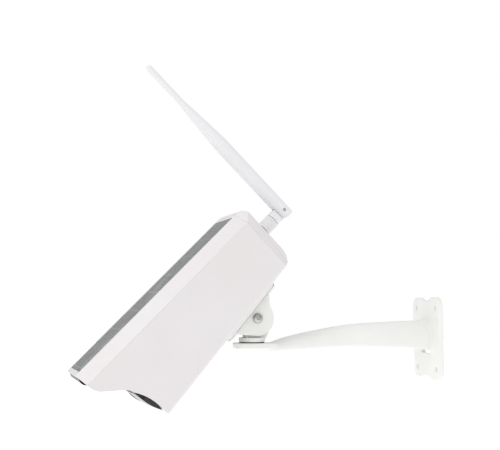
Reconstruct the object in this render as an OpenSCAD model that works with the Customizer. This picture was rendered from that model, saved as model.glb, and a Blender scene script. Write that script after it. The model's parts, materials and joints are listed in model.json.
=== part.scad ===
// Solar-powered outdoor security camera on a cast wall bracket.
// Millimetres, +Z up. The origin is the middle of the wall plate's back face, the wall is on +X.
// The head's own parts are drawn in a head frame: x runs from the hood to the rear cap,
// y across the body and z outward from the solar panel; head() places that frame.

/* [Wall bracket] */
// Width of the wall plate
plate_w = 64; // [58:1:72]
// Height of the wall plate
plate_h = 72; // [68:1:80]
// Thickness of the wall plate
plate_t = 4; // [3:0.5:5]
// Spacing of the four wall holes across the plate
hole_dy = 44; // [40:1:46]
// Spacing of the four wall holes up the plate
hole_dz = 52; // [50:1:56]
// Diameter of the wall holes
hole_d = 4.8; // [4:0.1:5.5]
// Distance from the wall to the pan axis
arm_reach = 160; // [150:1:180]

/* [Resting pose] */
// Swing of the head about the vertical pan screw
pan_rest = 11; // [0:1:20]
// Nose-down pitch of the head
pitch_rest = 45; // [40:1:50]

/* [Camera body] */
// Length from the hood's brow to the rear cap's face
body_len = 190; // [188:1:192]
// Width over the side walls
body_w = 76; // [74:1:78]
// Drop of the bevels beside the solar panel
bevel_drop = 10; // [9:0.5:11]
// Wall thickness of the mouldings
wall = 2.5; // [2:0.1:3]

/* [Solar panel] */
// Length of the panel
panel_len = 174; // [168:1:174]
// Width of the panel
panel_w = 48; // [46:1:49]
// Cells along the panel
cells_long = 8; // [6:1:10]
// Cells across the panel
cells_wide = 2; // [1:1:3]

/* [Antenna] */
// Diameter of the whip's thick part
whip_d = 12.8; // [12:0.1:13]
// Diameter of the whip's slim tip
whip_tip_d = 5.4; // [5:0.1:6]
// Length of the whip from the hinge pin
whip_len = 170.5; // [160:0.5:180]
// Lean of the folded whip past square
whip_lean = 1; // [0:0.5:3]

/* [Hidden] */
$fn = 64;
eps = 0.01;
far = 400;

// bracket
plate_corner_r = 9.5;
notch_r = 32;
notch_depth = 3;
slot_w = 22;
slot_h = 3;
slot_z = -11.6;
seat_z = -3;
tongue_t = 4.8;
tongue_hw = 13;
tongue_front = 16.3;
tongue_corner_r = 9;
// stations of the arm: distance from the wall, half width, top, bottom
arm_stations = [
    [plate_t - 0.5, 16.5, 16.5, -9.8], [13, 14, 15.6, -8.8], [30, 13, 15.2, -7.6],
    [75, 11.5, 12.4, -6.6], [118, 11.5, 5.3, -8.8], [arm_reach - 13.2, 12.5, seat_z, -10.5]
];

// fasteners and fits
m4 = 4;
m4_fit = 4.16;
m5 = 5;
m5_fit = 5.16;
pan_head_d = 9.6;
pan_head_h = 2.4;
pan_thread = 10;
washer_t = 0.8;

// yoke and tilt joint
flange_d = 22.4;
flange_t = 3.6;
flange_z = seat_z + washer_t + 0.05;
tilt_offset = 1.95;
tilt_z = 18;
lug_t = 9.4;
lug_r = 6.8;
cheek_in = 5;
cheek_t = 4;
cheek_r = 15.2;
tilt_washer_t = 0.8;
tilt_washer_d = 9;
screw_head_d = 7.8;
screw_head_h = 2.9;
nut_af = 7;
nut_h = 3.2;

// head frame
tilt_x = 139.2;
tilt_axis_z = -78.7;
foot_len = 64;
foot_w = 30;
foot_t = 4.4;
foot_shift = -1.25;
foot_end_len = 13;
foot_end_inset = 0.8;
foot_end_t = 1.8;
pad_t = 3;
foot_screw_dx = 24;
foot_screw_dy = 9.5;

// body outline in the head frame
hw = body_w / 2;
top_hw = panel_w / 2 + 2;
cap_x = body_len - 9;
brow_x = 1;
brow_z = -11;
brow_r = 14.4;
sweep_r = 12.8;
face_top = [21.6, -39.5];
face_bot = [28, -69.4];
face_tilt = atan((face_bot[0] - face_top[0]) / (face_top[1] - face_bot[1]));
scoop_depth = 2.6;
chord = norm(face_bot - face_top);
scoop_r = (chord * chord / 4 + scoop_depth * scoop_depth) / (2 * scoop_depth);
face_mid = (face_top + face_bot) / 2;
floor_x = 31;
floor_z = -72.2;
floor_rise = 4.8;
front_low_r = 3;
rear_low_r = 13;
rear_top_r = 5.5;
rear_chamfer = 6;
bevel_len = norm([hw - top_hw, bevel_drop]);
function floor_at(x) = floor_z + (x - floor_x) * tan(floor_rise);
function face_at(z) = face_bot[0] - (z - face_bot[1]) * tan(face_tilt);

// interior
pocket = [panel_len + 0.6, panel_w + 0.6, 3.2];
panel_x = 4.6;
board_t = 1.2;
cell_t = 0.4;
glass_t = 1.2;
seal_t = 0.8;
board_box = [[56, -27, -26], [100, 54, 1.6]];
board_screw_x = [60, 152];
board_screw_y = 22;
window_len = 56;
window_h = 7.8;
window_z = -3.4;
window_t = 1.6;
window_bulge = 1.5;
window_r = (window_h * window_h / 4 + window_bulge * window_bulge) / (2 * window_bulge);
front_w = 64;
front_h = 25.6;
front_drop = 1;
front_corner_r = 8;
front_back = -4;
front_crest = 2.8;
front_r = 45;
front_sweep_r = 400;
port_x = 78;
port_len = 26;
port_w = 22;
flap_t = 1.4;
port_post_x = 12.7;
port_board_z = 9.6;
sensor_z = -22;
sensor_post_y = 19;
column_x = [46, 166];
column_y = 29;
cap_screw_y = 27.5;
cap_screw_z = [-18, -44];
battery_x = 92;
battery_len = 65.2;
battery_d = 18.3;
battery_pitch = 19;
battery_z = -42;

// antenna, on an axis parallel to the body
mast_z = -30.5;
boss_d = 22;
boss_len = 4;
jack_d = 6.4;
coupler_d = 13;
coupler_x = body_len + 9.4;
coupler_len = 12;
knuckle_d = 12.4;
knuckle_x = coupler_x + coupler_len + 0.3;
hinge_x = 224.7;
whip_base = 7;
knuckle_gap = 0.4;
knuckle_tongue_r = 5.9;
knuckle_tongue_w = 5.4;
fork_gap = 6;
fork_depth = 6.6;
pin_d = 3;
pin_fit = 3.12;

// ---------- placing ----------

module head() {
    translate([-arm_reach, 0, 0])
        rotate([0, 0, pan_rest])
            translate([tilt_offset, 0, tilt_z])
                rotate([0, -pitch_rest, 0])
                    translate([-tilt_x, 0, -tilt_axis_z])
                        children();
}

// swivel parts: upright, turned with the pan axis
module swivel() {
    translate([-arm_reach, 0, 0])
        rotate([0, 0, pan_rest])
            children();
}

// frame on the sloping underside of the body, z out of the body pointing down is negative
module underside(x = tilt_x) {
    translate([x, 0, floor_at(x)])
        rotate([0, -floor_rise, 0])
            children();
}

// frame on the lens face, z along the lens axis out of the body, x up the face
module lens_frame() {
    translate([face_mid[0], 0, face_mid[1]])
        rotate([0, -(90 + face_tilt), 0])
            children();
}

// frame on the hood's front face, x into the body, the face is x = 0
module brow_frame() {
    rotate([0, -atan(brow_x / -brow_z), 0])
        children();
}

// ---------- shared shapes ----------

// an outline in the x-z plane, spread evenly over a width along y
module across(width) {
    rotate([90, 0, 0])
        linear_extrude(width, center = true)
            children();
}

module rounded(w, h, r) {
    square([w - 2 * r, h], center = true);
    square([w, h - 2 * r], center = true);
    for (sx = [-1, 1], sy = [-1, 1])
        translate([sx * (w / 2 - r), sy * (h / 2 - r)])
            circle(r);
}

module ring(d_out, d_in, h) {
    difference() {
        cylinder(d = d_out, h = h);
        translate([0, 0, -1])
            cylinder(d = d_in, h = h + 2);
    }
}

// a pan-head screw along z, its head on top of z = 0
module screw(d, len, head_d, head_h) {
    translate([0, 0, -len])
        cylinder(d = d, h = len + eps);
    difference() {
        intersection() {
            cylinder(d = head_d, h = head_h);
            translate([0, 0, head_h - head_d * 0.75])
                sphere(d = head_d * 1.5);
        }
        for (turn = [0, 90])
            rotate([0, 0, turn])
                translate([0, 0, head_h])
                    cube([head_d * 0.55, head_d * 0.12, head_h * 0.9], center = true);
    }
}

function arc(cx, cz, r, from, to, steps = 8) =
    [for (i = [0 : steps]) let (a = from + (to - from) * i / steps) [cx + r * cos(a), cz + r * sin(a)]];

// side outline of the body, hood at the left and rear cap at the right
module side_outline() {
    sweep_end = 90 - face_tilt;
    front_low_z = floor_at(floor_x) + front_low_r / cos(floor_rise);
    rear_low_z = floor_at(body_len - rear_low_r) + rear_low_r / cos(floor_rise);
    polygon(concat(
        [[0, 0]],
        arc(brow_x + brow_r, brow_z, brow_r, 180, 225),
        arc(face_top[0] - sweep_r * sin(sweep_end), face_top[1] - sweep_r * cos(sweep_end), sweep_r,
            45, 90 - sweep_end, 6),
        arc(face_at(front_low_z) + front_low_r / cos(face_tilt), front_low_z, front_low_r,
            180 + face_tilt, 270 + floor_rise, 4),
        arc(body_len - rear_low_r, rear_low_z, rear_low_r, 270 + floor_rise, 360, 10),
        arc(body_len - rear_top_r, -rear_top_r, rear_top_r, 0, 90, 6)
    ));
}

// cross section of the body: flat top, two bevels, flat sides
module bevel_section() {
    polygon([
        [-top_hw, 0], [top_hw, 0], [hw, -bevel_drop], [hw, -far / 4],
        [-hw, -far / 4], [-hw, -bevel_drop]
    ]);
}

// the body's outer form
module body_form() {
    intersection() {
        across(body_w + 2)
            side_outline();
        rotate([90, 0, 90])
            linear_extrude(body_len + 2, center = false)
                bevel_section();
        linear_extrude(far, center = true)
            polygon([
                [-1, -hw - 1], [cap_x, -hw - 1], [cap_x, -hw], [body_len, -hw + rear_chamfer],
                [body_len + 1, 0], [body_len, hw - rear_chamfer], [cap_x, hw], [cap_x, hw + 1],
                [-1, hw + 1]
            ]);
        translate([0, 0, floor_at(0)])
            rotate([0, -floor_rise, 0])
                rotate([90, 0, 90])
                    linear_extrude(far, center = true)
                        translate([0, far / 4])
                            rounded(body_w, far / 2, 5);
    }
}

// the concave scoop that the lens face is cut with
module scoop() {
    lens_frame()
        translate([0, 0, scoop_r - scoop_depth])
            rotate([90, 0, 0])
                cylinder(r = scoop_r, h = body_w + 4, center = true, $fn = 160);
}

// obround on the lens face
module obround(w, h) {
    hull_w = w - h;
    square([h, hull_w], center = true);
    for (s = [-1, 1])
        translate([0, s * hull_w / 2])
            circle(d = h);
}

// a seat for the hood's window, and a smaller opening behind it for the lights
module hood_cut() {
    brow_frame() {
        translate([-3, -window_len / 2 - 0.1, window_z - window_h - 0.1])
            cube([3 + window_t, window_len + 0.2, window_h + 0.2]);
        translate([-3, -window_len / 2 + 1, window_z - window_h + 0.8])
            cube([9, window_len - 2, window_h - 1.6]);
    }
}

// ---------- wall side ----------

module arm_section(half, top, bottom) {
    linear_extrude(0.2, center = true)
        polygon(concat(
            [for (a = [0 : 12 : 180])
                [half * cos(a), bottom + 2 + (top - bottom - 2) * pow(sin(a), 0.75)]],
            [[-half + 2, bottom], [half - 2, bottom]]
        ));
}

module arm_loft() {
    for (i = [0 : len(arm_stations) - 2])
        hull()
            for (s = [arm_stations[i], arm_stations[i + 1]])
                translate([-s[0], 0, 0])
                    rotate([90, 0, 90])
                        arm_section(s[1], s[2], s[3]);
}

module wall_bracket() {
    color("whitesmoke")
        difference() {
            union() {
                translate([-plate_t, 0, 0])
                    rotate([90, 0, 90])
                        linear_extrude(plate_t)
                            difference() {
                                rounded(plate_w, plate_h, plate_corner_r);
                                for (s = [-1, 1])
                                    translate([0, s * (plate_h / 2 + notch_r - notch_depth)])
                                        circle(notch_r);
                            }
                arm_loft();
                translate([-arm_reach, 0, seat_z - tongue_t])
                    linear_extrude(tongue_t)
                        translate([4, 0])
                            rounded(2 * (tongue_front + 4), 2 * tongue_hw, tongue_corner_r);
            }
            for (sy = [-1, 1], sz = [-1, 1])
                translate([-plate_t - 1, sy * hole_dy / 2, sz * hole_dz / 2])
                    rotate([0, 90, 0])
                        cylinder(d = hole_d, h = plate_t + 2);
            translate([-plate_t - 1, 0, slot_z])
                rotate([90, 0, 90])
                    linear_extrude(plate_t + 2)
                        rounded(slot_w, slot_h, slot_h / 2 - 0.01);
            translate([-arm_reach, 0, seat_z - tongue_t - 1])
                cylinder(d = m5_fit, h = tongue_t + 2);
            translate([-arm_reach, 0, seat_z - tongue_t - 1])
                cylinder(d = pan_head_d + 0.6, h = pan_head_h + 1.1);
        }
}

module pan_washer() {
    color("dimgray")
        translate([-arm_reach, 0, seat_z])
            ring(flange_d - 1, m5_fit, washer_t);
}

module swivel_yoke() {
    color("whitesmoke")
        swivel()
            difference() {
                union() {
                    translate([0, 0, flange_z])
                        cylinder(d = flange_d, h = flange_t);
                    translate([tilt_offset, 0, tilt_z])
                        rotate([90, 0, 0])
                            cylinder(r = lug_r, h = lug_t, center = true);
                    across(lug_t)
                        polygon([
                            [-7.5, flange_z + 1], [10, flange_z + 1], [13.6, 5.5], [13.4, 12],
                            [tilt_offset + lug_r, tilt_z - 1], [tilt_offset + lug_r * 0.95, tilt_z + 2],
                            [tilt_offset - lug_r * 0.95, tilt_z + 2], [tilt_offset - lug_r, tilt_z - 1]
                        ]);
                }
                translate([tilt_offset, 0, tilt_z])
                    rotate([90, 0, 0])
                        cylinder(d = m4_fit, h = lug_t + 2, center = true);
                translate([0, 0, flange_z - 1])
                    cylinder(d = m5, h = pan_thread + 1);
            }
}

module pan_screw() {
    color("silver")
        swivel()
            translate([0, 0, seat_z - tongue_t + pan_head_h])
                rotate([180, 0, 0])
                    screw(m5, flange_z + pan_thread - 0.5 - (seat_z - tongue_t + pan_head_h),
                          pan_head_d, pan_head_h - 0.1);
}

// ---------- camera foot and tilt joint ----------

module camera_foot() {
    plate_top = -pad_t;
    color("whitesmoke")
        head()
            difference() {
                union() {
                    underside()
                        translate([foot_shift, 0, plate_top - foot_t])
                            linear_extrude(foot_t)
                                rounded(foot_len, foot_w, 6);
                    // thicker ends around the screws
                    underside()
                        for (s = [-1, 1])
                            translate([foot_shift + s * ((foot_len - foot_end_len) / 2 - foot_end_inset),
                                       0, plate_top - foot_t - foot_end_t])
                                linear_extrude(foot_end_t + 1)
                                    rounded(foot_end_len, foot_w - 2 * foot_end_inset, 5);
                    intersection() {
                        union() {
                            for (s = [-1, 1])
                                translate([tilt_x, s * (cheek_in + cheek_t / 2), tilt_axis_z])
                                    rotate([90, 0, 0])
                                        cylinder(r = cheek_r, h = cheek_t, center = true);
                            for (s = [-1, 1])
                                translate([0, s * (cheek_in + cheek_t / 2), 0])
                                    across(cheek_t)
                                        translate([tilt_x, tilt_axis_z])
                                            polygon([
                                                [-24, 8.5], [-23, 4.3], [-11.9, -9.5], [14.4, -4.8],
                                                [16.2, 0.1], [21.5, 5.6], [25, 12.5]
                                            ]);
                        }
                        underside()
                            translate([-50, -50, plate_top - 1 - 60])
                                cube([100, 100, 60]);
                    }
                }
                translate([tilt_x, 0, tilt_axis_z])
                    rotate([90, 0, 0])
                        cylinder(d = m4, h = foot_w, center = true);
                underside()
                    foot_screw_places()
                        translate([0, 0, plate_top - foot_t - 1])
                            cylinder(d = 3.4, h = foot_t + 2);
                underside()
                    foot_screw_places()
                        translate([0, 0, plate_top - foot_t - foot_end_t - 1])
                            cylinder(d = 6.6, h = foot_end_t + 3.4);
            }
}

module foot_screw_places() {
    for (sx = [-1, 1], sy = [-1, 1])
        translate([sx * foot_screw_dx, sy * foot_screw_dy, 0])
            children();
}

module foot_screws() {
    color("silver")
        head()
            underside()
                foot_screw_places()
                    translate([0, 0, -pad_t - foot_t + 2.4])
                        rotate([180, 0, 0])
                            screw(3, foot_t - 2.4 + pad_t + 0.6, 5.8, 2.1);
}

module tilt_screw() {
    reach = cheek_in + cheek_t;
    color("silver")
        head()
            translate([tilt_x, -reach - tilt_washer_t, tilt_axis_z])
                rotate([90, 0, 0])
                    screw(m4, 2 * reach + 2 * tilt_washer_t + nut_h + 1, screw_head_d, screw_head_h);
}

module tilt_washers() {
    reach = cheek_in + cheek_t;
    color("gainsboro")
        head()
            for (y = [-reach, reach + tilt_washer_t])
                translate([tilt_x, y, tilt_axis_z])
                    rotate([90, 0, 0])
                        ring(tilt_washer_d, m4, tilt_washer_t);
}

module tilt_nut() {
    reach = cheek_in + cheek_t + tilt_washer_t;
    color("silver")
        head()
            translate([tilt_x, reach + nut_h, tilt_axis_z])
                rotate([90, 0, 0])
                    difference() {
                        cylinder(d = nut_af / cos(30), h = nut_h, $fn = 6);
                        translate([0, 0, -1])
                            cylinder(d = m4, h = nut_h + 2);
                    }
}

// ---------- housing ----------

// inside of the lower housing, seen from the side
module cavity_outline() {
    polygon([
        [3.6, -bevel_drop + 1], [4, -13.5], [9.6, -21.4], [22.6, -34.8], [26.9, -39],
        [32.9, floor_z + 3.7], [cap_x + 1, floor_at(cap_x + 1) + wall], [cap_x + 1, -bevel_drop + 1]
    ]);
}

module column_places() {
    for (x = column_x, s = [-1, 1])
        translate([x, s * column_y, 0])
            children();
}

module board_screw_places() {
    for (x = board_screw_x, s = [-1, 1])
        translate([x, s * board_screw_y, 0])
            children();
}

module cap_screw_places() {
    for (z = cap_screw_z, s = [-1, 1])
        translate([0, s * cap_screw_y, z])
            children();
}

module main_housing() {
    color("white")
        head()
            difference() {
                union() {
                    difference() {
                        intersection() {
                            body_form();
                            translate([-1, -hw - 1, -far / 2 - bevel_drop])
                                cube([cap_x + 1, body_w + 2, far / 2]);
                        }
                        across(body_w - 2 * wall)
                            cavity_outline();
                    }
                    underside()
                        translate([foot_shift, 0, -pad_t])
                            linear_extrude(pad_t + 0.5)
                                rounded(foot_len + 3, foot_w + 4, 6);
                    // screw columns from the floor to the seam
                    intersection() {
                        column_places()
                            translate([0, 0, -far / 4])
                                cylinder(d = 8, h = far / 4 - bevel_drop);
                        translate([0, 0, -1])
                            across(body_w - 1)
                                cavity_outline();
                    }
                    // posts under the port board and behind the lens face
                    underside(port_x)
                        for (s = [-1, 1])
                            translate([s * port_post_x, 0, 2])
                                cylinder(d = 3, h = port_board_z - 2);
                    lens_frame()
                        for (s = [-1, 1])
                            translate([0, s * sensor_post_y, sensor_z])
                                cylinder(d = 5, h = -sensor_z - 4.5);
                    // bosses for the rear cap's screws
                    cap_screw_places()
                        translate([cap_x - 14, 0, 0])
                            rotate([0, 90, 0])
                                cylinder(d = 7.6, h = 13.8);
                    for (z = cap_screw_z, s = [-1, 1])
                        translate([cap_x - 14, s * (hw - 4.5) - 3.5, z - 3])
                            cube([13.8, 7, 6]);
                }
                scoop();
                lens_frame()
                    translate([-front_drop, 0, front_back])
                        linear_extrude(20)
                            rounded(front_h + 0.4, front_w + 0.4, front_corner_r + 0.2);
                lens_frame()
                    translate([0, 0, -14])
                        linear_extrude(20)
                            obround(28, 20);
                cover_seal_strips(seal_t, 0.05);
                hood_cut();
                column_places()
                    translate([0, 0, -far / 4])
                        cylinder(d = 3.3, h = far / 4);
                for (x = column_x, s = [-1, 1])
                    translate([x, s * column_y, floor_at(x) - 2])
                        cylinder(d = 6.6, h = 5);
                cap_screw_places()
                    translate([cap_x - 12, 0, 0])
                        rotate([0, 90, 0])
                            cylinder(d = 3, h = 14);
                underside()
                    foot_screw_places()
                        translate([0, 0, -pad_t - 1])
                            cylinder(d = 3, h = pad_t + 2);
                underside(port_x)
                    translate([0, 0, -1])
                        linear_extrude(2.6)
                            rounded(port_len + 0.5, port_w + 0.5, 3.2);
                underside(port_x)
                    translate([0, 0, -2])
                        linear_extrude(6)
                            rounded(port_len - 5, port_w - 5, 2);
            }
}

module top_cover() {
    color("white")
        head()
            difference() {
                union() {
                    difference() {
                        intersection() {
                            body_form();
                            translate([-1, -hw - 1, -bevel_drop])
                                cube([cap_x + 1, body_w + 2, far]);
                        }
                        translate([3.6, 0, 0])
                            rotate([90, 0, 90])
                                linear_extrude(far)
                                    polygon([
                                        [-28.5, -5.6], [28.5, -5.6], [34, -bevel_drop - 1],
                                        [-34, -bevel_drop - 1]
                                    ]);
                    }
                    column_places()
                        translate([0, 0, -bevel_drop])
                            cylinder(d = 7.4, h = 3.4);
                    board_screw_places()
                        translate([0, 0, board_box[0][2] + board_box[1][2]])
                            cylinder(d = 6, h = 19.5);
                    // ribs behind the night lights' board
                    brow_frame()
                        for (s = [-1, 1])
                            translate([6.6, s * 22 - 2, window_z - window_h + 1])
                                cube([2, 4, 5.6]);
                }
                translate([panel_x - 0.3, -pocket[1] / 2, -pocket[2]])
                    cube([pocket[0], pocket[1], 10]);
                // opening under the panel for its leads
                translate([150, -8, -8])
                    cube([12, 16, 10]);
                hood_cut();
                column_places()
                    translate([0, 0, -bevel_drop - 1])
                        cylinder(d = 2.6, h = 3.8);
                board_screw_places()
                    translate([0, 0, board_box[0][2]])
                        cylinder(d = 2.6, h = 9);
            }
}

module cover_screws() {
    head_z = 2.2;
    color("silver")
        head()
            for (x = column_x, s = [-1, 1])
                translate([x, s * column_y, floor_at(x) + 3])
                    rotate([180, 0, 0])
                        screw(2.6, -bevel_drop + 2.6 - floor_at(x) - 3, 5.6, head_z);
}

// soft strips in a groove of the housing's rim, under the cover
module cover_seal_strips(t, slack) {
    start = 34;
    end = cap_x - 1;
    for (s = [-1, 1])
        translate([start - slack, s * (hw - 1.4) - 0.6 - slack, -bevel_drop - t])
            cube([end - start + 2 * slack, 1.2 + 2 * slack, t + (slack > 0 ? 1 : 0)]);
}

module cover_seal() {
    color("dimgray")
        head()
            cover_seal_strips(seal_t, 0);
}

module rear_cap() {
    color("white")
        head()
            difference() {
                union() {
                    difference() {
                        intersection() {
                            body_form();
                            translate([cap_x, -hw - 1, -far / 2])
                                cube([20, body_w + 2, far]);
                        }
                        translate([cap_x - 1, -22.5, -49])
                            cube([6, 45, 36]);
                        rear_seal_ring(0.9, 0.1);
                    }
                    translate([body_len - 4, 0, mast_z])
                        rotate([0, 90, 0])
                            cylinder(d1 = boss_d + 3, d2 = boss_d, h = boss_len + 4);
                }
                translate([0, 0, mast_z])
                    rotate([0, 90, 0])
                        cylinder(d = jack_d + 0.1, h = far);
                cap_screw_places()
                    translate([cap_x - 1, 0, 0])
                        rotate([0, 90, 0])
                            cylinder(d = 3.3, h = 20);
                cap_screw_places()
                    translate([body_len - 3.2, 0, 0])
                        rotate([0, 90, 0])
                            cylinder(d = 6.6, h = 8);
            }
}

// the rear seal's outline, a given distance inside the body's section
module seal_outline(inset) {
    shoulder = inset * bevel_len / bevel_drop;
    slope = (hw - top_hw) / bevel_drop;
    top = -inset - 2.6;
    side = hw - inset;
    low = floor_at(cap_x) + inset;
    half = [[top_hw - shoulder - slope * top, top],
            [side, (top_hw - shoulder - side) / slope], [side, low + 3.3], [side - 3.3, low]];
    polygon(concat(half, [for (i = [3 : -1 : 0]) [-half[i][0], half[i][1]]]));
}

// a soft ring in the rear cap's groove, pressed on the end of the housing
module rear_seal_ring(t, slack) {
    back = slack > 0 ? 1 : 0;
    translate([cap_x - back, 0, 0])
        rotate([90, 0, 90])
            linear_extrude(t + back)
                difference() {
                    seal_outline(1.3 - slack);
                    seal_outline(2.4 + slack);
                }
}

module rear_seal() {
    color("dimgray")
        head()
            rear_seal_ring(seal_t, 0);
}

module rear_cap_screws() {
    color("silver")
        head()
            cap_screw_places()
                translate([body_len - 3.2, 0, 0])
                    rotate([0, 90, 0])
                        screw(3, 16, 5.8, 2.2);
}

// ---------- solar panel ----------

module panel_layer(z, t, inset = 0) {
    translate([panel_x + inset, -panel_w / 2 + inset, z])
        cube([panel_len - 2 * inset, panel_w - 2 * inset, t]);
}

module solar_backboard() {
    color("darkgreen")
        head()
            panel_layer(-pocket[2], board_t);
}

module solar_cells() {
    gap = 1.2;
    margin = 3;
    cell_l = (panel_len - 2 * margin - (cells_long - 1) * gap) / cells_long;
    cell_w = (panel_w - 2 * margin - (cells_wide - 1) * gap) / cells_wide;
    color("midnightblue")
        head()
            for (i = [0 : cells_long - 1], j = [0 : cells_wide - 1])
                translate([panel_x + margin + i * (cell_l + gap),
                           -panel_w / 2 + margin + j * (cell_w + gap), -pocket[2] + board_t])
                    cube([cell_l, cell_w, cell_t]);
}

module solar_glass() {
    color("slategray")
        head()
            difference() {
                panel_layer(-pocket[2] + board_t, glass_t + cell_t + 0.3);
                translate([0, 0, -1])
                    panel_layer(-pocket[2] + board_t, 1 + cell_t, 2);
            }
}

// ---------- hood window and night lights ----------

module hood_window() {
    color("black")
        head()
            brow_frame()
                intersection() {
                    translate([-window_bulge, -window_len / 2, window_z - window_h])
                        cube([window_bulge + window_t, window_len, window_h]);
                    translate([window_r - window_bulge, 0, window_z - window_h / 2])
                        rotate([90, 0, 0])
                            cylinder(r = window_r, h = window_len + 2, center = true);
                }
}

module ir_led_board() {
    color("darkgreen")
        head()
            brow_frame()
                translate([5.4, -24, window_z - window_h + 0.6])
                    cube([1.2, 48, 4.2]);
}

module ir_leds() {
    color("lightgray")
        head()
            brow_frame()
                for (side = [-1, 1], i = [1 : 3])
                    translate([3.4, side * i * 6.6, window_z - window_h / 2])
                        rotate([0, 90, 0])
                            cylinder(d = 3.4, h = 2);
}

module light_sensor() {
    color("goldenrod")
        head()
            brow_frame()
                translate([3.6, 0, window_z - window_h / 2])
                    rotate([0, 90, 0])
                        cylinder(d = 3, h = 1.8);
}

// ---------- camera module ----------

module front_window() {
    color("black")
        head()
            lens_frame()
                difference() {
                    intersection() {
                        translate([-front_drop, 0, front_back])
                            linear_extrude(12)
                                rounded(front_h, front_w, front_corner_r);
                        translate([0, 0, front_crest - front_sweep_r])
                            rotate([0, 90, 0])
                                rotate_extrude($fn = 180)
                                    translate([front_sweep_r - front_r, 0])
                                        circle(front_r);
                    }
                    translate([0, 0, -20])
                        cylinder(d = 17, h = 40);
                    cylinder(d = 20.2, h = 40);
                }
}

module lens_window() {
    color("lightcyan")
        head()
            lens_frame()
                cylinder(d = 20, h = 1.5);
}

module lens_barrel() {
    color("dimgray")
        head()
            lens_frame()
                difference() {
                    union() {
                        translate([0, 0, -9])
                            cylinder(d = 15, h = 7.4);
                        translate([0, 0, -18])
                            cylinder(d = 12, h = 9.5);
                    }
                    translate([0, 0, -4.4])
                        cylinder(d = 11.4, h = 6);
                    translate([0, 0, -19])
                        cylinder(d = 7, h = 30);
                }
}

module front_lens() {
    color("lightsteelblue")
        head()
            lens_frame()
                intersection() {
                    translate([0, 0, -4.4])
                        cylinder(d = 11.4, h = 6);
                    translate([0, 0, -12.2])
                        sphere(r = 10);
                }
}

module lens_holder() {
    color("black")
        head()
            lens_frame()
                difference() {
                    union() {
                        translate([0, 0, sensor_z])
                            cylinder(d = 17, h = 12);
                        translate([0, 0, sensor_z])
                            linear_extrude(3)
                                rounded(22, 22, 2);
                    }
                    translate([0, 0, -30])
                        cylinder(d = 12, h = 40);
                }
}

module sensor_board() {
    color("darkgreen")
        head()
            lens_frame()
                translate([0, 0, sensor_z - 1.6])
                    linear_extrude(1.6)
                        rounded(24, 46, 2);
}

module image_sensor() {
    color("darkslategray")
        head()
            lens_frame()
                translate([-4, -4, sensor_z])
                    cube([8, 8, 1.4]);
}

// ---------- electronics ----------

module main_board() {
    color("darkgreen")
        head()
            difference() {
                translate(board_box[0])
                    cube(board_box[1]);
                board_screw_places()
                    translate([0, 0, board_box[0][2] - 1])
                        cylinder(d = 2.9, h = 4);
            }
}

module board_screws() {
    color("silver")
        head()
            board_screw_places()
                translate([0, 0, board_box[0][2]])
                    rotate([180, 0, 0])
                        screw(2.6, 8.4, 5, 1.8);
}

module board_chips() {
    color("dimgray")
        head()
            union() {
                translate([84, -8, -24.4])
                    cube([14, 14, 1.4]);
                translate([104, -18, -24.4])
                    cube([9, 12, 1.1]);
                translate([104, 4, -24.4])
                    cube([6, 6, 1]);
                translate([120, 10, -24.4])
                    cube([8, 8, 3.2]);
                translate([72, 8, -24.4])
                    cube([6, 10, 5]);
            }
}

module wifi_module() {
    color("silver")
        head()
            translate([136, -9, -24.4])
                cube([20, 16, 2.6]);
}

module battery_cells() {
    color("seagreen")
        head()
            for (i = [-1 : 1])
                translate([battery_x, i * battery_pitch, battery_z])
                    rotate([0, 90, 0])
                        union() {
                            cylinder(d = battery_d, h = battery_len - 1.2);
                            cylinder(d = 6, h = battery_len);
                        }
}

module battery_tray() {
    tray_w = 3 * battery_pitch + 1;
    tray_z = battery_z - battery_d / 2 - 1.6;
    color("dimgray")
        head()
            difference() {
                union() {
                    translate([battery_x - 2.4, -tray_w / 2, tray_z])
                        cube([battery_len + 4.8, tray_w, 9]);
                    intersection() {
                        for (x = [8, battery_len - 8], s = [-1, 1])
                            translate([battery_x + x, s * 22, tray_z - 20])
                                cylinder(d = 6, h = 21);
                        across(body_w - 2 * wall)
                            cavity_outline();
                    }
                }
                for (i = [-1 : 1])
                    translate([battery_x - 0.4, i * battery_pitch, battery_z])
                        rotate([0, 90, 0])
                            cylinder(d = battery_d + 0.2, h = battery_len + 0.8);
            }
}

module port_board() {
    color("darkgreen")
        head()
            underside(port_x)
                translate([-14.5, -9, port_board_z])
                    cube([29, 18, 1.4]);
}

module usb_socket() {
    color("silver")
        head()
            underside(port_x)
                translate([-8, -4.5, 2.2])
                    difference() {
                        cube([3.4, 9, 7.4]);
                        translate([0.5, 0.6, -1])
                            cube([2.4, 7.8, 6]);
                    }
}

module card_slot() {
    color("gainsboro")
        head()
            underside(port_x)
                translate([-2.4, -6.5, 3])
                    difference() {
                        cube([2.4, 13, 6.6]);
                        translate([0.7, 1, -1])
                            cube([1.1, 11, 6]);
                    }
}

module reset_switch() {
    color("dimgray")
        head()
            underside(port_x)
                difference() {
                    translate([3.6, -3, 6.6])
                        cube([6, 6, 3]);
                    translate([6.6, 0, 5])
                        cylinder(d = 2.12, h = 3.8);
                }
}

module reset_button() {
    color("red")
        head()
            underside(port_x)
                translate([6.6, 0, 4])
                    union() {
                        cylinder(d = 3.4, h = 2);
                        cylinder(d = 2, h = 4.2);
                    }
}

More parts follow.
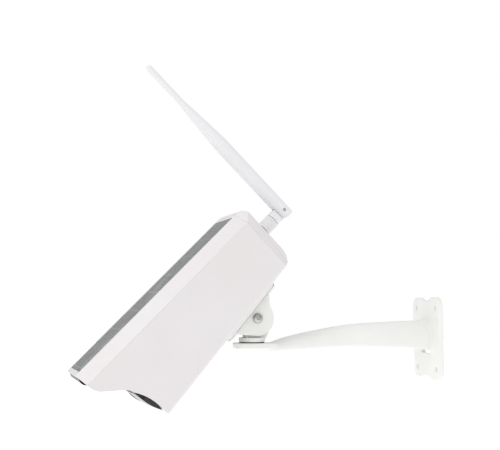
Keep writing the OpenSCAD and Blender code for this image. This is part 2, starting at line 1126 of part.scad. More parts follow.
module port_flap() {
    color("whitesmoke")
        head()
            underside(port_x)
                difference() {
                    union() {
                        difference() {
                            linear_extrude(flap_t)
                                rounded(port_len, port_w, 3);
                            translate([-port_len / 2 - 1, -port_w / 2, -1])
                                cube([1 + flap_t / 2, port_w, flap_t + 2]);
                            // room at the hinge for the round corners of the recess
                            for (s = [-1, 1])
                                translate([-port_len / 2, s * port_w / 2, 0])
                                    cube([5.6, 5.6, 3 * flap_t], center = true);
                        }
                        // round bead that the flap turns on
                        translate([(flap_t - port_len) / 2, 0, flap_t / 2])
                            rotate([90, 0, 0])
                                cylinder(d = flap_t, h = port_w - 6, center = true);
                        linear_extrude(2.1)
                            rounded(port_len - 6, port_w - 6, 1.6);
                    }
                    // finger groove
                    translate([port_len / 2 - 3.4, 0, -0.1])
                        rotate([90, 0, 0])
                            cylinder(r = 0.6, h = port_w - 8, center = true);
                }
}

// ---------- antenna ----------

module mast(x) {
    head()
        translate([x, 0, mast_z])
            rotate([0, 90, 0])
                children();
}

module antenna_jack() {
    color("goldenrod")
        mast(cap_x - 3)
            union() {
                cylinder(d = 9, h = 8, $fn = 6);
                cylinder(d = jack_d, h = coupler_x - cap_x + 3 + 8);
                translate([0, 0, -6])
                    cylinder(d = 5, h = 7);
            }
}

module jack_washer() {
    color("gainsboro")
        mast(body_len + boss_len)
            ring(12.5, jack_d + 0.1, 1.2);
}

module jack_nut() {
    color("goldenrod")
        mast(body_len + boss_len + 1.2)
            difference() {
                cylinder(d = 11.2, h = 2.6, $fn = 6);
                translate([0, 0, -1])
                    cylinder(d = jack_d, h = 6);
            }
}

module antenna_coupler() {
    color("white")
        mast(coupler_x)
            difference() {
                cylinder(d = coupler_d, h = coupler_len);
                translate([0, 0, -1])
                    cylinder(d = jack_d, h = 9.4);
                translate([0, 0, coupler_len - 2])
                    cylinder(d = 7.16, h = 3);
            }
}

module antenna_knuckle() {
    shoulder = hinge_x - whip_base - knuckle_gap - knuckle_x;
    reach = hinge_x - knuckle_x;
    color("white")
        mast(knuckle_x)
            difference() {
                union() {
                    cylinder(d = knuckle_d, h = shoulder);
                    translate([0, 0, -2])
                        cylinder(d = 7, h = 3);
                    intersection() {
                        cylinder(d = knuckle_d, h = reach + knuckle_tongue_r + 1);
                        union() {
                            translate([-knuckle_tongue_r, -knuckle_tongue_w / 2, shoulder - 1])
                                cube([2 * knuckle_tongue_r, knuckle_tongue_w, reach - shoulder + 1]);
                            translate([0, 0, reach])
                                rotate([90, 0, 0])
                                    cylinder(r = knuckle_tongue_r, h = knuckle_tongue_w,
                                             center = true);
                        }
                    }
                }
                translate([0, 0, reach])
                    rotate([90, 0, 0])
                        cylinder(d = pin_fit, h = 30, center = true);
            }
}

// frame of the whip, folded across the mast: z along the whip from the hinge pin
module whip_frame() {
    head()
        translate([hinge_x, 0, mast_z])
            rotate([0, -whip_lean, 0])
                children();
}

module hinge_pin() {
    color("dimgray")
        whip_frame()
            rotate([90, 0, 0])
                cylinder(d = pin_d, h = whip_d - 0.6, center = true);
}

module antenna_whip() {
    neck = 40;
    shoulder = 90;
    color("white")
        whip_frame()
            difference() {
                rotate_extrude()
                    polygon(concat(
                        [[0, -whip_base], [whip_d / 2 - 0.6, -whip_base],
                         [whip_d / 2, 0.6 - whip_base], [whip_d / 2, whip_len - shoulder],
                         [whip_tip_d / 2, whip_len - neck],
                         [whip_tip_d / 2, whip_len - whip_tip_d / 2]],
                        [for (a = [30 : 30 : 90])
                            [whip_tip_d / 2 * cos(a),
                             whip_len - whip_tip_d / 2 + whip_tip_d / 2 * sin(a)]]
                    ));
                // slot of the fork
                translate([-whip_d, -fork_gap / 2, -2 * whip_base])
                    cube([2 * whip_d, fork_gap, 2 * whip_base + fork_depth]);
                // the corner that swings past the knuckle is round about the pin
                difference() {
                    translate([-2 * whip_base, -whip_d, -2 * whip_base])
                        cube([2 * whip_base, 2 * whip_d, 2 * whip_base]);
                    rotate([90, 0, 0])
                        cylinder(r = whip_base, h = 4 * whip_d, center = true);
                }
                rotate([90, 0, 0])
                    cylinder(d = pin_d, h = 2 * whip_d, center = true);
                translate([0, 0, fork_depth + 6])
                    cylinder(d = 2.6, h = whip_len - fork_depth - 10);
            }
}

module whip_core() {
    color("goldenrod")
        whip_frame()
            translate([0, 0, fork_depth + 6])
                cylinder(d = 2.6, h = whip_len - fork_depth - 20);
}

wall_bracket();
pan_washer();
swivel_yoke();
pan_screw();
camera_foot();
foot_screws();
tilt_screw();
tilt_washers();
tilt_nut();
main_housing();
top_cover();
cover_screws();
cover_seal();
rear_cap();
rear_seal();
rear_cap_screws();
solar_glass();
solar_cells();
solar_backboard();
hood_window();
ir_led_board();
ir_leds();
light_sensor();
front_window();
lens_window();
lens_barrel();
front_lens();
lens_holder();
sensor_board();
image_sensor();
main_board();
wifi_module();
board_chips();
board_screws();
battery_cells();
battery_tray();
port_board();
usb_socket();
card_slot();
reset_switch();
reset_button();
port_flap();
antenna_jack();
jack_washer();
jack_nut();
antenna_coupler();
antenna_knuckle();
hinge_pin();
antenna_whip();
whip_core();
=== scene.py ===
import json
import math

import bmesh
import bpy
from mathutils import Matrix, Vector
from mathutils.bvhtree import BVHTree


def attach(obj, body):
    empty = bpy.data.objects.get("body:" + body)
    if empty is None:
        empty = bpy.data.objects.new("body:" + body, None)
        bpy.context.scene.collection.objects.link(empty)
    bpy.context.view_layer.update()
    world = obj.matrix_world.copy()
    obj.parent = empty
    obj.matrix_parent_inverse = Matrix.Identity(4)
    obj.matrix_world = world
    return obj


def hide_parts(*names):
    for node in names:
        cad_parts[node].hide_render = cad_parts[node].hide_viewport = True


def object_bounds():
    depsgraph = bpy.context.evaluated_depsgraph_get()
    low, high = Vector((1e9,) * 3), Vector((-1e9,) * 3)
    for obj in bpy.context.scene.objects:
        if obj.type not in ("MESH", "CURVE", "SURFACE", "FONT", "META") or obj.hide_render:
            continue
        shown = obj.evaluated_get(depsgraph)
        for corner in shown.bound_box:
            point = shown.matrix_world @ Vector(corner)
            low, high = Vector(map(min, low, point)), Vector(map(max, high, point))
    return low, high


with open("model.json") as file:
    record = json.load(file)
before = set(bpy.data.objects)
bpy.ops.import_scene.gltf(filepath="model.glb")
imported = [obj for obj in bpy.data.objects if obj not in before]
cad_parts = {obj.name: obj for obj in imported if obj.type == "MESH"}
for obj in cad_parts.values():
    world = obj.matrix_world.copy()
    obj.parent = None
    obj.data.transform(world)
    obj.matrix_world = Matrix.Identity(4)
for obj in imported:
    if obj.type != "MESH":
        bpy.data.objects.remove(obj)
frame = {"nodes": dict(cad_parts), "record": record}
cad_low, cad_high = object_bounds()
nodes = frame["nodes"]
bodies = frame["record"]["behaviour"]["bodies"]
body_of = {n: b for b, members in bodies.items() for n in members}
slot_of = {s["node"]: s["material_slot"] for s in frame["record"]["subparts"]}
# the hood's window is black even where it is seen along its face
look_of = {**slot_of, "hood_window": "hood_black"}

MM = 0.001

# ---------- sizes in millimetres, as in the CAD model ----------

# wall plate
PLATE_W = 64
PLATE_H = 72
PLATE_T = 4
PLATE_CORNER_R = 9.5
NOTCH_R = 32
NOTCH_DEPTH = 3
NOTCH_HALF_ANGLE = 25
HOLE_DY = 44
HOLE_DZ = 52
HOLE_R = 2.4
COUNTERSINK_R = 4.6
COUNTERSINK_FLOOR_R = 2.2
COUNTERSINK_DEPTH = 2.2
SLOT_W = 22
SLOT_H = 3
SLOT_Z = -11.6

# arm: distance from the wall, half width, top, bottom
ARM_REACH = 160
ARM = [(2, 16.6, 16.6, -9.9), (8, 15.0, 15.9, -9.3), (16, 13.8, 15.5, -8.6),
       (30, 13.0, 15.2, -7.6), (75, 11.5, 12.4, -6.6), (104, 11.3, 7.7, -7.9),
       (128, 11.7, 2.6, -9.2), (146, 12.5, -3.0, -10.4)]
ARM_STEPS = 60
ARM_CORNER_R = 2

# tongue under the yoke
SEAT_Z = -3
TONGUE_T = 4.8
TONGUE_HALF_W = 13
TONGUE_FRONT = 16.3
TONGUE_CORNER_R = 9
TONGUE_ROOT = [(-146, -13), (-140, -12.2), (-140, 12.2), (-146, 13)]
PAN_BORE_R = 2.58
PAN_RECESS_R = 5.1
PAN_RECESS_TOP = -5.3
PAN_RECESS_DEPTH = 4

# resting pose of the head, and where the tilt screw lies in both of its frames
PAN_REST = math.radians(11)
PITCH_REST = math.radians(45)
TILT_OFFSET = 1.95
TILT_Z = 18
TILT_X_IN_HEAD = 139.2
TILT_Z_IN_HEAD = -78.7

# antenna coupler, in the head's frame: a profile of (radius, distance from its base, knurled)
COUPLER_X = 199.4
COUPLER_Z = -30.5
COUPLER_PROFILE = [
    (3.25, 0.0, False), (5.9, 0.0, False), (6.4, 0.5, False), (6.4, 1.5, False),
    (6.1, 1.9, False), (6.1, 2.3, True), (6.1, 9.4, True), (6.1, 9.8, False),
    (6.4, 10.2, False), (6.4, 11.4, False), (5.9, 11.95, False), (3.62, 11.95, False),
    (3.62, 10.1, False), (3.25, 10.0, False)]
COUPLER_STEPS = 144
KNURLS = 36
KNURL_HEIGHT = 0.3

# edge rounding of the moulded and turned pieces
EDGE_ROUNDING = {
    "main_housing": 0.25, "top_cover": 0.25, "rear_cap": 0.35, "camera_foot": 0.7,
    "swivel_yoke": 0.5, "antenna_whip": 0.3, "antenna_knuckle": 0.3, "solar_glass": 0.25,
    "hood_window": 0.15, "front_window": 0.2, "tilt_screw": 0.15, "tilt_washers": 0.12,
    "tilt_nut": 0.2, "port_flap": 0.25, "pan_washer": 0.15}
EDGE_SEGMENTS = 2
EDGE_ANGLE = 35
WELD_DISTANCE = 0.02
FLAT_ANGLE = 0.1

HEAD = (
    Matrix.Translation((-ARM_REACH * MM, 0, 0))
    @ Matrix.Rotation(PAN_REST, 4, "Z")
    @ Matrix.Translation((TILT_OFFSET * MM, 0, TILT_Z * MM))
    @ Matrix.Rotation(-PITCH_REST, 4, "Y")
    @ Matrix.Translation((-TILT_X_IN_HEAD * MM, 0, -TILT_Z_IN_HEAD * MM))
)


# ---------- camera ----------

EYE = (-0.26426, -0.68533, 0.02814)
HEADING = math.radians(8.52)
RISE = math.radians(5.80)
FOCAL_LENGTH = 57.6
SENSOR_WIDTH = 36


def make_camera():
    data = bpy.data.cameras.new("view")
    data.sensor_width = SENSOR_WIDTH
    data.lens = FOCAL_LENGTH
    data.clip_start = 0.02
    data.clip_end = 60
    cam = bpy.data.objects.new("view", data)
    bpy.context.scene.collection.objects.link(cam)
    forward = Vector((math.sin(HEADING) * math.cos(RISE), math.cos(HEADING) * math.cos(RISE),
                      math.sin(RISE)))
    cam.location = EYE
    cam.rotation_mode = "QUATERNION"
    cam.rotation_quaternion = forward.to_track_quat("-Z", "Y")
    bpy.context.scene.camera = cam


# ---------- materials ----------

class Look:
    """A Principled material with its texture nodes."""

    def __init__(self, name, rough, **sockets):
        self.mat = bpy.data.materials.new(name)
        self.mat.use_nodes = True
        self.tree = self.mat.node_tree
        self.shader = self.tree.nodes["Principled BSDF"]
        self.shader.inputs["Roughness"].default_value = rough
        for key, value in sockets.items():
            self.shader.inputs[key.replace("_", " ")].default_value = value
        self.where = self.node("ShaderNodeTexCoord").outputs["Object"]

    def node(self, kind, **settings):
        n = self.tree.nodes.new(kind)
        for key, value in settings.items():
            setattr(n, key, value)
        return n

    def link(self, a, b):
        self.tree.links.new(a, b)

    def frame_of(self, location=(0, 0, 0), rotation=(0, 0, 0), scale=(1, 1, 1)):
        """Texture coordinates in a frame of their own."""
        m = self.node("ShaderNodeMapping", vector_type="TEXTURE")
        m.inputs["Location"].default_value = location
        m.inputs["Rotation"].default_value = rotation
        m.inputs["Scale"].default_value = scale
        self.link(self.where, m.inputs["Vector"])
        return m.outputs["Vector"]

    def head_frame(self):
        return self.frame_of(tuple(HEAD.translation), (0, -PITCH_REST, PAN_REST))

    def noise(self, scale, detail=3.0, rough=0.55, vector=None):
        n = self.node("ShaderNodeTexNoise")
        n.inputs["Scale"].default_value = scale
        n.inputs["Detail"].default_value = detail
        n.inputs["Roughness"].default_value = rough
        self.link(vector or self.where, n.inputs["Vector"])
        return n.outputs["Fac"]

    def ramp(self, value, stops):
        r = self.node("ShaderNodeValToRGB")
        for element, (at, colour) in zip(r.color_ramp.elements, stops):
            element.position = at
            element.color = (*colour, 1)
        self.link(value, r.inputs["Fac"])
        return r.outputs["Color"]

    def spread(self, value, low, high, at=(0.3, 0.7)):
        """Maps the range of a value onto low to high."""
        m = self.node("ShaderNodeMapRange")
        for key, v in zip(("From Min", "From Max", "To Min", "To Max"), (*at, low, high)):
            m.inputs[key].default_value = v
        self.link(value, m.inputs["Value"])
        return m.outputs["Result"]

    def compute(self, operation, *terms):
        """One step of arithmetic on numbers and node outputs."""
        m = self.node("ShaderNodeMath", operation=operation)
        for socket, term in zip(m.inputs, terms):
            if isinstance(term, (int, float)):
                socket.default_value = term
            else:
                self.link(term, socket)
        return m.outputs[0]

    def mix(self, factor, under, over):
        """Lays the colour over the one beneath, where the factor is 1."""
        m = self.node("ShaderNodeMix", data_type="RGBA")
        self.link(factor, m.inputs[0])
        self.link(under, m.inputs[6])
        m.inputs[7].default_value = (*over, 1)
        return m.outputs[2]

    def bump(self, height, strength, distance, under=None):
        b = self.node("ShaderNodeBump")
        b.inputs["Strength"].default_value = strength
        b.inputs["Distance"].default_value = distance
        self.link(height, b.inputs["Height"])
        if under is not None:
            self.link(under, b.inputs["Normal"])
        return b.outputs["Normal"]

    def paint(self, colour, rough=None, normal=None):
        for key, value in (("Base Color", colour), ("Roughness", rough), ("Normal", normal)):
            if value is not None:
                self.link(value, self.shader.inputs[key])
        return self.mat


def shade(colour, factor):
    return tuple(min(1.0, c * factor) for c in colour)


# the mottled patches of a moulding are slightly warmer
WARM = (1.0, 0.995, 0.985)


def moulded(name, colour, rough, grain, grain_scale=1900, variation=0.02, coat=0.0):
    """Injection-moulded plastic: fine spark texture, faint mottling and sink marks."""
    look = Look(name, rough, Coat_Weight=coat, Coat_Roughness=0.2)
    tinted = tuple(c * w for c, w in zip(shade(colour, 1 - variation), WARM))
    base = look.ramp(look.noise(22, 4), [(0.35, tinted), (0.65, colour)])
    fine = look.noise(grain_scale, 2, 0.7)
    slow = look.noise(55, 2)
    normal = look.bump(fine, grain, 0.00012)
    normal = look.bump(slow, 0.03, 0.0015, normal)
    return look.paint(base, look.spread(look.noise(130, 4), rough - 0.05, rough + 0.07), normal)


def powder_coat(name, colour):
    """Powder coat over a casting: orange peel, a little chalking."""
    look = Look(name, 0.4, Coat_Weight=0.25, Coat_Roughness=0.25)
    base = look.ramp(look.noise(35, 5), [(0.3, shade(colour, 0.955)), (0.7, colour)])
    peel = look.noise(950, 2, 0.45)
    cast = look.noise(160, 3)
    normal = look.bump(peel, 0.16, 0.00018)
    normal = look.bump(cast, 0.05, 0.0006, normal)
    return look.paint(base, look.spread(look.noise(420, 3), 0.34, 0.5), normal)


# scratches per metre along and across the brushing
BRUSHING = (40, 2600, 2600)


def brushed(name, colour, rough):
    """Turned or brushed metal: fine parallel scratches and slight staining."""
    look = Look(name, rough, Metallic=1.0, Anisotropic=0.4)
    stretched = look.frame_of(scale=tuple(1 / b for b in BRUSHING))
    lines = look.noise(1, 4, 0.7, stretched)
    base = look.ramp(look.noise(240, 4), [(0.3, shade(colour, 0.8)), (0.7, colour)])
    normal = look.bump(lines, 0.25, 0.00006)
    return look.paint(base, look.spread(lines, rough - 0.08, rough + 0.14), normal)


# width and length of a wiping mark in metres, and how it is turned
WIPE_SIZE = (0.004, 0.03, 0.03)
WIPE_TURN = (0.3, 0.5, 0.8)


def gloss(name, colour, rough, shine=0.5):
    """Polished acrylic or lacquer, with faint wiping marks."""
    look = Look(name, rough, IOR=1.5, Specular_IOR_Level=shine)
    wipe = look.frame_of(rotation=WIPE_TURN, scale=WIPE_SIZE)
    marks = look.noise(1, 4, 0.6, wipe)
    base = look.ramp(look.noise(90, 3), [(0.3, shade(colour, 0.8)), (0.7, colour)])
    normal = look.bump(look.noise(45, 2), 0.02, 0.001)
    return look.paint(base, look.spread(marks, rough, rough + 0.07, (0.4, 0.75)), normal)


def clear(name, tint, rough, ior, texture=0.0):
    """Clear glass or acrylic, with a weak haze that varies."""
    look = Look(name, rough, Transmission_Weight=1.0, IOR=ior)
    haze = look.noise(120, 4)
    base = look.ramp(haze, [(0.3, shade(tint, 0.97)), (0.7, tint)])
    normal = look.bump(look.noise(2600, 2, 0.5), texture, 0.00006) if texture else None
    return look.paint(base, look.spread(haze, rough, rough + 0.05), normal)


def rubber(name, colour, rough):
    """Matt rubber: fine grain and a dusty sheen."""
    look = Look(name, rough, Sheen_Weight=0.15, Sheen_Roughness=0.6)
    base = look.ramp(look.noise(75, 5), [(0.3, shade(colour, 0.88)), (0.7, colour)])
    normal = look.bump(look.noise(3000, 2, 0.6), 0.12, 0.0001)
    return look.paint(base, look.spread(look.noise(300, 3), rough - 0.08, rough + 0.1), normal)


# lines printed on the cells: spacing and width in metres, and the busbars' offset in spacings
FINGER_PITCH = 0.0018
FINGER_W = 0.00012
BUSBAR_PITCH = 0.0069
BUSBAR_W = 0.0009
BUSBAR_OFFSET = 0.12


def silicon(name):
    """Solar cells: deep blue crystal with fine silver fingers and busbars, in the head's frame."""
    look = Look(name, 0.22, Coat_Weight=0.6, Coat_Roughness=0.08)
    place = look.head_frame()
    split = look.node("ShaderNodeSeparateXYZ")
    look.link(place, split.inputs[0])

    def stripes(value, pitch, width, offset=0.0):
        turns = look.compute("ADD", look.compute("DIVIDE", value, pitch), offset)
        off_middle = look.compute("SUBTRACT", look.compute("FRACT", turns), 0.5)
        return look.compute("LESS_THAN", look.compute("ABSOLUTE", off_middle), width / pitch / 2)

    cells = look.node("ShaderNodeTexVoronoi")
    cells.inputs["Scale"].default_value = 260
    look.link(place, cells.inputs["Vector"])
    grains = look.ramp(cells.outputs["Color"],
                       [(0.2, (0.012, 0.020, 0.048)), (0.8, (0.030, 0.050, 0.105))])
    fingers = stripes(split.outputs["X"], FINGER_PITCH, FINGER_W)
    busbars = stripes(split.outputs["Y"], BUSBAR_PITCH, BUSBAR_W, BUSBAR_OFFSET)
    metal = look.compute("MAXIMUM", look.compute("MULTIPLY", fingers, 0.55), busbars)
    base = look.mix(metal, grains, (0.42, 0.44, 0.46))
    rough = look.spread(metal, 0.2, 0.38, (0, 1))
    return look.paint(base, rough, look.bump(metal, 0.2, 0.00005))


def circuit_board(name, mask):
    """Solder mask with tracks showing through, and pads."""
    look = Look(name, 0.35, Coat_Weight=0.3, Coat_Roughness=0.2)
    place = look.head_frame()
    tracks = look.node("ShaderNodeTexBrick")
    for key, v in (("Scale", 190.0), ("Mortar Size", 0.03), ("Brick Width", 0.9),
                   ("Row Height", 0.3)):
        tracks.inputs[key].default_value = v
    for key, factor in (("Color1", 1.0), ("Color2", 0.7), ("Mortar", 1.7)):
        tracks.inputs[key].default_value = (*shade(mask, factor), 1)
    look.link(place, tracks.inputs["Vector"])
    pads = look.node("ShaderNodeTexVoronoi")
    pads.inputs["Scale"].default_value = 330
    look.link(place, pads.inputs["Vector"])
    dots = look.compute("LESS_THAN", pads.outputs["Distance"], 0.16)
    base = look.mix(dots, tracks.outputs["Color"], (0.55, 0.5, 0.36))
    normal = look.bump(tracks.outputs["Fac"], 0.2, 0.00005)
    return look.paint(base, look.spread(look.noise(200, 3), 0.28, 0.45), normal)


LOOKS = {
    "bracket_paint": powder_coat("bracket_paint", (0.805, 0.81, 0.785)),
    "shell_white": moulded("shell_white", (0.715, 0.690, 0.700), 0.38, 0.05, coat=0.08),
    "antenna_white": moulded("antenna_white", (0.75, 0.745, 0.765), 0.46, 0.012, 1400,
                             variation=0.012),
    "panel_glass": clear("panel_glass", (0.86, 0.92, 0.90), 0.10, 1.48, texture=0.25),
    "cell_silicon": silicon("cell_silicon"),
    "board_green": circuit_board("board_green", (0.02, 0.11, 0.05)),
    "window_black": gloss("window_black", (0.010, 0.010, 0.012), 0.05),
    "hood_black": gloss("hood_black", (0.008, 0.008, 0.009), 0.12, shine=0.01),
    "clear_window": clear("clear_window", (0.93, 0.95, 0.96), 0.0, 1.49),
    "lens_glass": clear("lens_glass", (0.72, 0.70, 0.86), 0.0, 1.62),
    "black_plastic": moulded("black_plastic", (0.018, 0.018, 0.02), 0.48, 0.08),
    "steel": brushed("steel", (0.62, 0.62, 0.61), 0.26),
    "seal_rubber": rubber("seal_rubber", (0.035, 0.035, 0.036), 0.7),
    "flap_rubber": rubber("flap_rubber", (0.72, 0.72, 0.715), 0.6),
    "brass": brushed("brass", (0.78, 0.60, 0.30), 0.25),
    "battery_wrap": gloss("battery_wrap", (0.03, 0.20, 0.13), 0.25),
    "socket_metal": brushed("socket_metal", (0.68, 0.68, 0.67), 0.3),
    "led_clear": gloss("led_clear", (0.55, 0.56, 0.60), 0.08),
    "sensor_amber": gloss("sensor_amber", (0.50, 0.33, 0.12), 0.2),
    "pin_steel": brushed("pin_steel", (0.70, 0.70, 0.71), 0.34),
}


def dress(obj, look):
    obj.data.materials.clear()
    obj.data.materials.append(LOOKS[look])


# ---------- mesh helpers ----------

def add_object(name, bm):
    mesh = bpy.data.meshes.new(name)
    bm.to_mesh(mesh)
    bm.free()
    obj = bpy.data.objects.new(name, mesh)
    bpy.context.scene.collection.objects.link(obj)
    return obj


def smooth(obj, angle):
    mesh = obj.data
    mesh.shade_smooth()
    mesh.set_sharp_from_angle(angle=math.radians(angle))


def apply(obj):
    """Bakes the object's modifiers into its mesh."""
    graph = bpy.context.evaluated_depsgraph_get()
    baked = bpy.data.meshes.new_from_object(obj.evaluated_get(graph))
    old = obj.data
    obj.modifiers.clear()
    obj.data = baked
    baked.name = old.name
    bpy.data.meshes.remove(old)


def install(obj, node):
    """Puts a finished piece in the place of its CAD node."""
    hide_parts(node)
    dress(obj, look_of[node])
    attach(obj, body_of[node])


def keep_on_surface(obj, source, reach):
    """Puts points that a bevel threw off the shape back on it."""
    tree = BVHTree.FromPolygons([v.co for v in source.vertices],
                                [tuple(p.vertices) for p in source.polygons])
    for v in obj.data.vertices:
        near, _, _, away = tree.find_nearest(v.co)
        if away > reach * MM:
            v.co = near


def softened(node, width):
    """A copy of a CAD solid with its flat faces merged and its edges rounded."""
    bm = bmesh.new()
    bm.from_mesh(nodes[node].data)
    bmesh.ops.remove_doubles(bm, verts=bm.verts, dist=WELD_DISTANCE * MM)
    bmesh.ops.dissolve_limit(bm, angle_limit=math.radians(FLAT_ANGLE), verts=bm.verts,
                             edges=bm.edges)
    obj = add_object(node + "_finished", bm)
    bevel = obj.modifiers.new("edges", "BEVEL")
    bevel.width = width * MM
    bevel.segments = EDGE_SEGMENTS
    bevel.limit_method = "ANGLE"
    bevel.angle_limit = math.radians(EDGE_ANGLE)
    bevel.use_clamp_overlap = False
    apply(obj)
    keep_on_surface(obj, nodes[node].data, 0.5 * width + 0.1)
    smooth(obj, 30)
    weighted = obj.modifiers.new("normals", "WEIGHTED_NORMAL")
    weighted.keep_sharp = True
    weighted.weight = 60
    apply(obj)
    install(obj, node)


def arc(cx, cy, r, start, end, steps):
    """Points on an arc between two angles in degrees."""
    return [(cx + r * math.cos(math.radians(start + (end - start) * i / steps)),
             cy + r * math.sin(math.radians(start + (end - start) * i / steps)))
            for i in range(steps + 1)]


def prism(bm, outline, place, depth):
    """Extrudes an outline: place(u, v, w) gives the point at depth w."""
    low = [bm.verts.new(place(u, v, 0)) for u, v in outline]
    high = [bm.verts.new(place(u, v, depth)) for u, v in outline]
    bm.faces.new(low)
    bm.faces.new(reversed(high))
    for i in range(len(outline)):
        j = (i + 1) % len(outline)
        bm.faces.new((low[i], high[i], high[j], low[j]))


def tube(bm, rings):
    """Skins closed rings of points and caps both ends."""
    made = [[bm.verts.new(p) for p in ring] for ring in rings]
    for a, b in zip(made, made[1:]):
        for i in range(len(a)):
            j = (i + 1) % len(a)
            bm.faces.new((a[i], b[i], b[j], a[j]))
    bm.faces.new(reversed(made[0]))
    bm.faces.new(made[-1])


# ---------- wall bracket ----------

def along_arm(x):
    """Smooth interpolation of the arm's half width, top and bottom between its stations."""
    last = len(ARM) - 1
    k = max(i for i in range(last) if ARM[i][0] <= x)
    p0, p1, p2, p3 = ARM[max(k - 1, 0)], ARM[k], ARM[k + 1], ARM[min(k + 2, last)]
    span = p2[0] - p1[0]
    t = (x - p1[0]) / span
    out = []
    for c in range(1, len(p1)):
        m1 = (p2[c] - p0[c]) / (p2[0] - p0[0]) * span
        m2 = (p3[c] - p1[c]) / (p3[0] - p1[0]) * span
        out.append((2 * t**3 - 3 * t**2 + 1) * p1[c] + (t**3 - 2 * t**2 + t) * m1
                   + (-2 * t**3 + 3 * t**2) * p2[c] + (t**3 - t**2) * m2)
    return out


def arm_ring(x):
    """Section of the arm: a domed top over a flat bottom with rounded corners."""
    half, top, bottom = along_arm(x)
    shoulder = bottom + ARM_CORNER_R
    points = []
    for i in range(17):
        a = math.radians(180 * i / 16)
        points.append((half * math.cos(a), shoulder + (top - shoulder) * math.sin(a)**0.75))
    points += arc(-half + ARM_CORNER_R, shoulder, ARM_CORNER_R, 180, 270, 4)[1:]
    points += [(half * k, bottom) for k in (-0.5, 0.0, 0.5)]
    points += arc(half - ARM_CORNER_R, shoulder, ARM_CORNER_R, 270, 360, 4)[:-1]
    return [Vector((-x, y, z)) * MM for y, z in points]


def plate_outline():
    right = arc(PLATE_W / 2 - PLATE_CORNER_R, PLATE_H / 2 - PLATE_CORNER_R, PLATE_CORNER_R,
                0, 90, 10)
    notch = arc(0, PLATE_H / 2 + NOTCH_R - NOTCH_DEPTH, NOTCH_R,
                -90 + NOTCH_HALF_ANGLE, -90 - NOTCH_HALF_ANGLE, 12)
    top = right + notch + [(-y, z) for y, z in reversed(right)]
    return top + [(-y, -z) for y, z in top]


def tongue_outline():
    corner_x = -(ARM_REACH + TONGUE_FRONT - TONGUE_CORNER_R)
    corner_y = TONGUE_HALF_W - TONGUE_CORNER_R
    return (arc(corner_x, corner_y, TONGUE_CORNER_R, 90, 180, 10)
            + arc(corner_x, -corner_y, TONGUE_CORNER_R, 180, 270, 10) + TONGUE_ROOT)


def casting_blank():
    """Plate, arm and tongue fused into one body with soft fillets."""
    bm = bmesh.new()
    prism(bm, plate_outline(), lambda y, z, w: Vector((-w, y, z)) * MM, PLATE_T)
    start, end = ARM[0][0], ARM[-1][0]
    tube(bm, [arm_ring(start + (end - start) * i / ARM_STEPS) for i in range(ARM_STEPS + 1)])
    prism(bm, tongue_outline(), lambda x, y, w: Vector((x, y, SEAT_Z - TONGUE_T + w)) * MM,
          TONGUE_T)
    bmesh.ops.recalc_face_normals(bm, faces=bm.faces)
    obj = add_object("wall_bracket_casting", bm)
    remesh = obj.modifiers.new("cast", "REMESH")
    remesh.mode = "VOXEL"
    remesh.voxel_size = 0.75 * MM
    relax = obj.modifiers.new("fillets", "SMOOTH")
    relax.factor = 0.6
    relax.iterations = 5
    apply(obj)
    return obj


def drills():
    """The holes of the casting as one cutting tool."""
    bm = bmesh.new()

    def cone(x, y, z, radius1, radius2, depth, turn=Matrix.Identity(4)):
        place = Matrix.Translation(Vector((x, y, z)) * MM) @ turn
        bmesh.ops.create_cone(bm, cap_ends=True, segments=40, radius1=radius1 * MM,
                              radius2=radius2 * MM, depth=depth * MM, matrix=place)

    sideways = Matrix.Rotation(math.radians(90), 4, "Y")
    for sy in (-1, 1):
        for sz in (-1, 1):
            y, z = sy * HOLE_DY / 2, sz * HOLE_DZ / 2
            cone(-PLATE_T / 2, y, z, HOLE_R, HOLE_R, 3 * PLATE_T, sideways)
            cone(-PLATE_T - 0.1, y, z, COUNTERSINK_R, COUNTERSINK_FLOOR_R, COUNTERSINK_DEPTH,
                 sideways)
    slot_r = SLOT_H / 2
    slot_y = SLOT_W / 2 - slot_r
    slot = arc(-slot_y, SLOT_Z, slot_r, 90, 270, 10) + arc(slot_y, SLOT_Z, slot_r, -90, 90, 10)
    prism(bm, slot, lambda y, z, w: Vector((2 - w, y, z)) * MM, PLATE_T + 5)
    cone(-ARM_REACH, 0, SEAT_Z - 2, PAN_BORE_R, PAN_BORE_R, 20)
    cone(-ARM_REACH, 0, PAN_RECESS_TOP - PAN_RECESS_DEPTH / 2, PAN_RECESS_R, PAN_RECESS_R,
         PAN_RECESS_DEPTH)
    bmesh.ops.recalc_face_normals(bm, faces=bm.faces)
    return add_object("drills", bm)


def wall_casting():
    obj = casting_blank()
    tool = drills()
    cut = obj.modifiers.new("holes", "BOOLEAN")
    cut.operation = "DIFFERENCE"
    cut.solver = "EXACT"
    cut.object = tool
    cut.use_self = True
    apply(obj)
    bpy.data.objects.remove(tool)
    smooth(obj, 42)
    install(obj, "wall_bracket")


# ---------- antenna coupler ----------

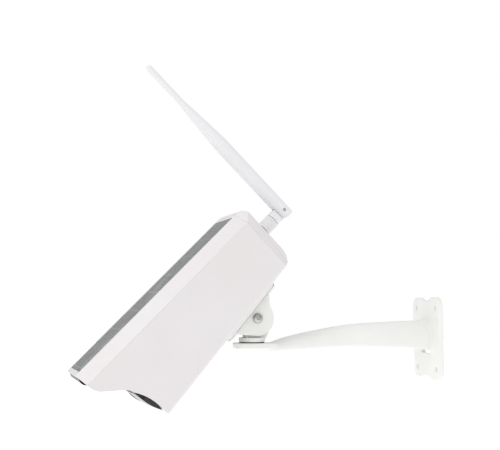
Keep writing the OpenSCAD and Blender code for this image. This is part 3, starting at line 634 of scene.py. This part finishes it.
def knurled_coupler():
    """Screw-on collar with a knurled grip between two plain lips."""
    base = HEAD @ (Vector((COUPLER_X, 0, COUPLER_Z)) * MM)
    axis = HEAD.to_3x3() @ Vector((1, 0, 0))
    side = HEAD.to_3x3() @ Vector((0, 1, 0))
    up = axis.cross(side)
    bm = bmesh.new()
    rings = []
    for radius, x, knurled in COUPLER_PROFILE:
        ring = []
        for i in range(COUPLER_STEPS):
            a = 2 * math.pi * i / COUPLER_STEPS
            r = radius
            if knurled:
                r += KNURL_HEIGHT * abs(math.sin(a * KNURLS / 2))
            ring.append(bm.verts.new(base + axis * x * MM
                                     + (side * math.cos(a) + up * math.sin(a)) * r * MM))
        rings.append(ring)
    for a, b in zip(rings, rings[1:] + rings[:1]):
        for i in range(COUPLER_STEPS):
            j = (i + 1) % COUPLER_STEPS
            bm.faces.new((a[i], b[i], b[j], a[j]))
    bmesh.ops.recalc_face_normals(bm, faces=bm.faces)
    obj = add_object("antenna_coupler_grip", bm)
    smooth(obj, 38)
    install(obj, "antenna_coupler")


# ---------- stage ----------

FLOOR_DROP = 0.55
# how brightly the backdrop shows in reflections, against 1 for the light it gives
REFLECTED = 0.58
LIT_POINT = (-0.18, 0, 0.05)
# name, place, width in metres, watts, shows in reflections
LAMPS = [("key", (-1.4, -0.5, 1.4), 1.0, 6, True),
         ("fill", (0.15, -1.7, 0.30), 1.2, 0.3, False),
         ("back", (-0.6, 1.6, 0.6), 1.2, 1, False)]


def make_floor():
    bm = bmesh.new()
    bmesh.ops.create_grid(bm, x_segments=24, y_segments=24, size=14)
    floor = add_object("floor", bm)
    floor.location = (0, 0, cad_low.z - FLOOR_DROP)
    look = Look("studio_floor", 0.8, Emission_Color=(1, 1, 1, 1), Emission_Strength=0.3)
    base = look.ramp(look.noise(1.5, 3), [(0.3, (0.90, 0.90, 0.90)), (0.7, (0.92, 0.92, 0.92))])
    floor.data.materials.append(look.paint(base))


def make_backdrop():
    """A white surround that lights the object evenly and shines in it more weakly."""
    world = bpy.data.worlds.new("studio")
    world.use_nodes = True
    tree = world.node_tree
    background = tree.nodes["Background"]
    background.inputs["Color"].default_value = (1.0, 1.0, 1.0, 1)
    ray = tree.nodes.new("ShaderNodeLightPath")
    level = tree.nodes.new("ShaderNodeMapRange")
    level.inputs["To Min"].default_value = 1.0
    level.inputs["To Max"].default_value = REFLECTED
    tree.links.new(ray.outputs["Is Glossy Ray"], level.inputs["Value"])
    tree.links.new(level.outputs["Result"], background.inputs["Strength"])
    bpy.context.scene.world = world
    bpy.context.scene.view_settings.view_transform = "Standard"


def make_lamps():
    for name, place, size, watts, glossy in LAMPS:
        data = bpy.data.lights.new(name, "AREA")
        data.shape = "DISK"
        data.size = size
        data.energy = watts
        obj = bpy.data.objects.new(name, data)
        obj.location = place
        obj.rotation_mode = "QUATERNION"
        obj.rotation_quaternion = (Vector(LIT_POINT) - Vector(place)).to_track_quat("-Z", "Y")
        obj.visible_glossy = glossy
        bpy.context.scene.collection.objects.link(obj)


make_camera()
make_floor()
make_backdrop()
make_lamps()

for node_name, node_object in nodes.items():
    dress(node_object, look_of[node_name])

for node_name, rounding in EDGE_ROUNDING.items():
    softened(node_name, rounding)
wall_casting()
knurled_coupler()
